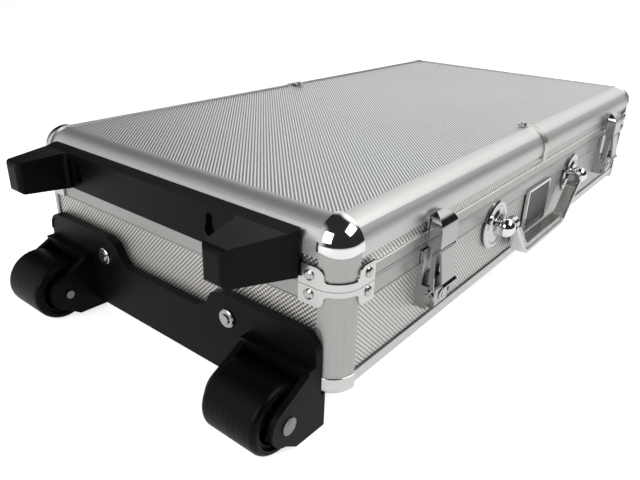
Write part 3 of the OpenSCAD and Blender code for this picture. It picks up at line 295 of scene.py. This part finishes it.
# Each look: its maker, its name, what the maker takes, and the nodes that wear it.
LOOKS = (
    # The three skins are one embossed aluminium; their different colours and
    # contrasts are painted light, set for how each face is lit.
    (skin, "skin_top",
     (X, Y, -1.05, 0.00214, 0.10, (0.20, 0.21, 0.205), (0.865, 0.885, 0.875)),
     "base_bottom_panel lid_top_panel"),
    (skin, "skin_front",
     (X, Z, 1.0, 0.0022, 0.12, (0.31, 0.313, 0.303), (0.69, 0.694, 0.676)),
     "base_front_panel base_rear_panel lid_front_strip lid_rear_strip"),
    (skin, "skin_end",
     (Y, Z, 1.0, 0.0022, 0.55, (0.18, 0.175, 0.167), (0.87, 0.848, 0.821)),
     "base_wheel_end_panel base_trolley_end_panel lid_wheel_end_strip "
     "lid_trolley_end_strip"),
    # The rails and posts are one extruded aluminium; their different colours are
    # painted light, set for how brightly each place is lit.
    (rail, "rail", ((0.40, 0.403, 0.39), X, 0.24, 0.36), "base_frame_rails"),
    # Lid frame rails: a painted highlight along their lip
    (rail, "rail_lipped",
     ((0.40, 0.403, 0.39), X, 0.24, 0.36, LID_RAIL_LIP, LIP_PAINTED_HIGHLIGHT),
     "lid_frame_rails"),
    # Lid edge rails: painted lighter, a lit copy of the rail aluminium.
    (rail, "rail_bright", ((0.62, 0.63, 0.615), X, 0.34, 0.44), "lid_edge_rails"),
    # Bottom rails: painted shade along their top, where the front panel meets them
    (rail, "rail_low",
     ((0.58, 0.584, 0.572), X, 0.24, 0.36, RAIL_LOW_SHADE_HEIGHT, GAP_PAINTED_SHADE),
     "base_bottom_rails"),
    (rail, "post", ((0.43, 0.423, 0.413), Z, 0.24, 0.36),
     "base_corner_posts lid_corner_posts"),
    (rail, "tube", ((0.70, 0.71, 0.72), X, 0.22, 0.34),
     "trolley_outer_tubes trolley_inner_tubes"),
    # Corner brackets: painted shade on their edges
    (plated, "pressed", ((0.62, 0.62, 0.608), 0.14, 0.26, EDGE_PAINTED_SHADE),
     "base_corner_brackets lid_corner_brackets"),
    (plated, "bracket", ((0.62, 0.62, 0.608), 0.14, 0.26),
     "base_corner_caps hinge_base_leaves hinge_lid_leaves"),
    (plated, "chrome", ((0.78, 0.78, 0.785), 0.04, 0.10),
     "badge_frame handle_ball_studs lid_corner_balls"),
    (plated, "bow", ((0.58, 0.58, 0.575), 0.07, 0.15),
     "handle_escutcheons carry_handle_bow"),
    (plated, "latch", ((0.40, 0.40, 0.398), 0.05, 0.12),
     "near_latch_hasp near_latch_lever far_latch_hasp far_latch_lever"),
    (plated, "latch_plate", ((0.42, 0.423, 0.416), 0.14, 0.24),
     "latch_base_plates latch_lock_housings latch_keepers"),
    (plated, "steel", ((0.52, 0.51, 0.50), 0.16, 0.30),
     "base_corner_rivets latch_lock_cylinders latch_hasp_pins bracket_bolts "
     "trolley_housing_screws hinge_pins lid_corner_rivets stand_bar_screws"),
    (plated, "badge", ((0.055, 0.055, 0.057), 0.28, 0.42), "badge_plate"),
    (plated, "axle", ((0.26, 0.25, 0.25), 0.28, 0.42), "wheel_axles"),
    (plated, "clip", ((0.50, 0.50, 0.475), 0.16, 0.28), "lid_centre_clips"),
    (moulded, "black", ((0.0032, 0.0032, 0.0031), 0.32, 0.46),
     "wheel_bracket trolley_housing stand_bar trolley_grip trolley_button"),
    (moulded, "hub", ((0.0055, 0.0055, 0.0055), 0.34, 0.46),
     "near_wheel_hub far_wheel_hub"),
    (ribbed, "tread",
     ((0.0030, 0.0030, 0.0029), Y, 0.0042, 0.00005, 0.0, 0.32, 0.44),
     "near_wheel_tyre far_wheel_tyre"),
    (ribbed, "grip", ((0.62, 0.62, 0.60), X, 0.0018, 0.0002, 0.85, 0.16, 0.28),
     "carry_handle_grip"),
    (foam, "tray", ((0.030, 0.030, 0.034),), "tile_tray"),
    (foam, "pad", ((0.055, 0.055, 0.060),), "lid_foam_pad"),
)
looks = {}
for maker, look, values, wearers in LOOKS:
    looks[look] = maker(look, *values)
    for name in wearers.split():
        nodes[name].data.materials.clear()
        nodes[name].data.materials.append(looks[look])


# Foam inside the case ----------------------------------------------------------
def eased(t):
    t = min(max(t, 0.0), 1.0)
    return t * t * (3 - 2 * t)


def foam_piece(name, node, body, look, free, crown, reach, pull):
    """Cut foam in a node's place, its edges eased and its free face crowned.

    free is 1 where the upper face is free and -1 where the lower one is. crown
    is how far the free face drops at its edges, reach how far in from the
    edges it starts to, and pull how far the sides are drawn in halfway along.
    """
    o = bpy.data.objects.new(name, nodes[node].data.copy())
    bpy.context.collection.objects.link(o)
    cells = o.modifiers.new("cells", "REMESH")
    cells.mode = "VOXEL"
    cells.voxel_size = FOAM_CELL
    ease = o.modifiers.new("ease", "SMOOTH")
    ease.factor = 0.5
    ease.iterations = 5
    bpy.context.view_layer.update()
    graph = bpy.context.evaluated_depsgraph_get()
    mesh = bpy.data.meshes.new_from_object(o.evaluated_get(graph))
    o.modifiers.clear()
    o.data = mesh
    low, high = (Vector(v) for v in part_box(node))
    for v in mesh.vertices:
        to_x = min(v.co.x - low.x, high.x - v.co.x)
        to_y = min(v.co.y - low.y, high.y - v.co.y)
        inward = eased(min(to_x, to_y) / reach)
        depth = (v.co.z - low.z) / (high.z - low.z)
        share = depth if free > 0 else 1 - depth
        v.co.z -= free * crown * (1 - inward) * share
        span = 1 - abs(2 * (v.co.x - low.x) / (high.x - low.x) - 1)
        width = 1 - abs(2 * (v.co.y - low.y) / (high.y - low.y) - 1)
        if to_y < reach:
            side = 1 if v.co.y < (low.y + high.y) / 2 else -1
            v.co.y += side * pull * eased(span * 2) * (1 - inward)
        if to_x < reach:
            side = 1 if v.co.x < (low.x + high.x) / 2 else -1
            v.co.x += side * pull * eased(width * 2) * (1 - inward)
        sway = noise.noise(v.co * 22) * 0.5 + noise.noise(v.co * 60) * 0.25
        v.co.z -= free * share * FOAM_SWAY * (1 + sway)
    for face in mesh.polygons:
        face.use_smooth = True
    mesh.materials.clear()
    mesh.materials.append(looks[look])
    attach(o, body)
    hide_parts(node)


foam_piece("tray_foam_block", "tile_tray", "base", "tray",
           free=1, crown=0.0012, reach=0.016, pull=0.0006)
foam_piece("lid_foam_sheet", "lid_foam_pad", "lid", "pad",
           free=-1, crown=0.0022, reach=0.022, pull=0.0012)

# Camera at the photograph's angle, solved from the edges of the case -------------
right = Vector((0.62410609, -0.78071419, 0.03125588))
down = Vector((-0.30728633, -0.28203228, -0.90886352))
forward = Vector((0.71837782, 0.55762276, -0.41592087))
cam = bpy.data.objects.new("camera", bpy.data.cameras.new("camera"))
bpy.context.collection.objects.link(cam)
turned = Matrix((right, -down, -forward)).transposed().to_4x4()
cam.matrix_world = Matrix.Translation(at(-220.92, -156.03, 218.50)) @ turned
cam.data.sensor_width = 36
cam.data.lens = 34.09
cam.data.clip_start = 0.01
bpy.context.scene.camera = cam

# Floor: paper that the camera, and in part reflections, see lifted to white -------
floor_mesh = bpy.data.meshes.new("floor")
floor_mesh.from_pydata([(x * FLOOR_HALF, y * FLOOR_HALF, 0)
                        for x, y in ((-1, -1), (1, -1), (1, 1), (-1, 1))],
                       [], [(0, 1, 2, 3)])
floor = bpy.data.objects.new("floor", floor_mesh)
bpy.context.collection.objects.link(floor)
paper = Mat("floor", (0.80, 0.80, 0.80), 0.7)
paper.tint(paper.spread(paper.noise(3, 2), 0, 1),
           (0.79, 0.79, 0.79), (0.81, 0.81, 0.81))
glow = paper.n("ShaderNodeEmission")
glow.inputs["Strength"].default_value = FLOOR_LIFT
lifted = paper.n("ShaderNodeAddShader")
paper.wire(paper.p.outputs[0], lifted.inputs[0])
paper.wire(glow.outputs[0], lifted.inputs[1])
path = paper.n("ShaderNodeLightPath").outputs
mirrored = paper.math("ADD", path["Is Glossy Ray"], path["Is Transmission Ray"])
seen = paper.n("ShaderNodeMixShader")
paper.wire(paper.math("ADD", path["Is Camera Ray"],
                      paper.math("MULTIPLY", mirrored, MIRRORED_LIFT), clamp=True),
           seen.inputs[0])
paper.wire(paper.p.outputs[0], seen.inputs[1])
paper.wire(lifted.outputs[0], seen.inputs[2])
paper.wire(seen.outputs[0], paper.out.inputs[0])
floor_mesh.materials.append(paper.m)

# World: a dim room, brighter low down behind the case and to its left ------------
world = bpy.data.worlds.new("studio")
world.use_nodes = True
bpy.context.scene.world = world
sky = world.node_tree
sky.nodes.clear()


def new(kind, **props):
    node = sky.nodes.new(kind)
    for key, value in props.items():
        setattr(node, key, value)
    return node


def ramp(value, low, high, to_low, to_high):
    node = new("ShaderNodeMapRange", interpolation_type="SMOOTHSTEP")
    for key, v in (("From Min", low), ("From Max", high),
                   ("To Min", to_low), ("To Max", to_high)):
        node.inputs[key].default_value = v
    sky.links.new(value, node.inputs["Value"])
    return node.outputs[0]


def patch(way, start, full, strength):
    """A soft patch of light around one direction."""
    toward = new("ShaderNodeVectorMath", operation="DOT_PRODUCT")
    toward.inputs[1].default_value = Vector(way).normalized()
    sky.links.new(ray, toward.inputs[0])
    return ramp(toward.outputs["Value"], start, full, 0.0, strength)


def joined(op, a, b):
    node = new("ShaderNodeMath", operation=op)
    for socket, v in zip(node.inputs, (a, b)):
        if isinstance(v, float):
            socket.default_value = v
        else:
            sky.links.new(v, socket)
    return node.outputs[0]


def shown(color, strength):
    node = new("ShaderNodeBackground")
    node.inputs["Color"].default_value = (*color, 1)
    if strength:
        sky.links.new(strength, node.inputs["Strength"])
    return node.outputs[0]


ray = new("ShaderNodeTexCoord").outputs["Generated"]
height = new("ShaderNodeSeparateXYZ")
sky.links.new(ray, height.inputs[0])
behind = joined("MULTIPLY", patch(BEHIND_WAY, BEHIND_START, BEHIND_FULL, 1.0),
                ramp(height.outputs["Z"], FADE_LOW, FADE_HIGH, 1.0, FADE_LEFT))
room = joined("ADD", patch(*HIGH_SPOT), ROOM)
walls = joined("ADD", joined("MULTIPLY", behind, BEHIND), patch(*LEFT_WALL))

# The camera sees white all round, and reflections see it behind the case.
path = new("ShaderNodeLightPath").outputs
mirrored = joined("ADD", path["Is Glossy Ray"], path["Is Transmission Ray"])
backdrop = new("ShaderNodeMixShader")
sky.links.new(joined("ADD", path["Is Camera Ray"],
                     joined("MULTIPLY", mirrored, behind)), backdrop.inputs[0])
sky.links.new(shown((1.0, 0.99, 0.975), joined("ADD", walls, room)),
              backdrop.inputs[1])
sky.links.new(shown((1, 1, 1), None), backdrop.inputs[2])
sky.links.new(backdrop.outputs[0], new("ShaderNodeOutputWorld").inputs[0])


# Two windows --------------------------------------------------------------------
def window(name, way, along, size, watts):
    """A window in direction way from the case, its width lying along."""
    data = bpy.data.lights.new(name, "AREA")
    data.shape = "RECTANGLE"
    data.size, data.size_y = size
    data.energy = watts
    o = bpy.data.objects.new(name, data)
    back = Vector(way).normalized()
    up = back.cross(Vector(along)).normalized()
    side = up.cross(back)
    o.matrix_world = (Matrix.Translation(WINDOW_AIM + back * WINDOW_DISTANCE)
                      @ Matrix((side, up, back)).transposed().to_4x4())
    bpy.context.collection.objects.link(o)


window("right_window", (0.28, -0.60, 0.75), (0.67, 0.38, -0.07), (1.55, 0.82),
       RIGHT_WATTS)
window("left_window", (-0.86, 0.07, 0.51), (0.05, -0.58, 0.0), (1.16, 1.30),
       LEFT_WATTS)

bpy.context.scene.view_settings.view_transform = "Standard"
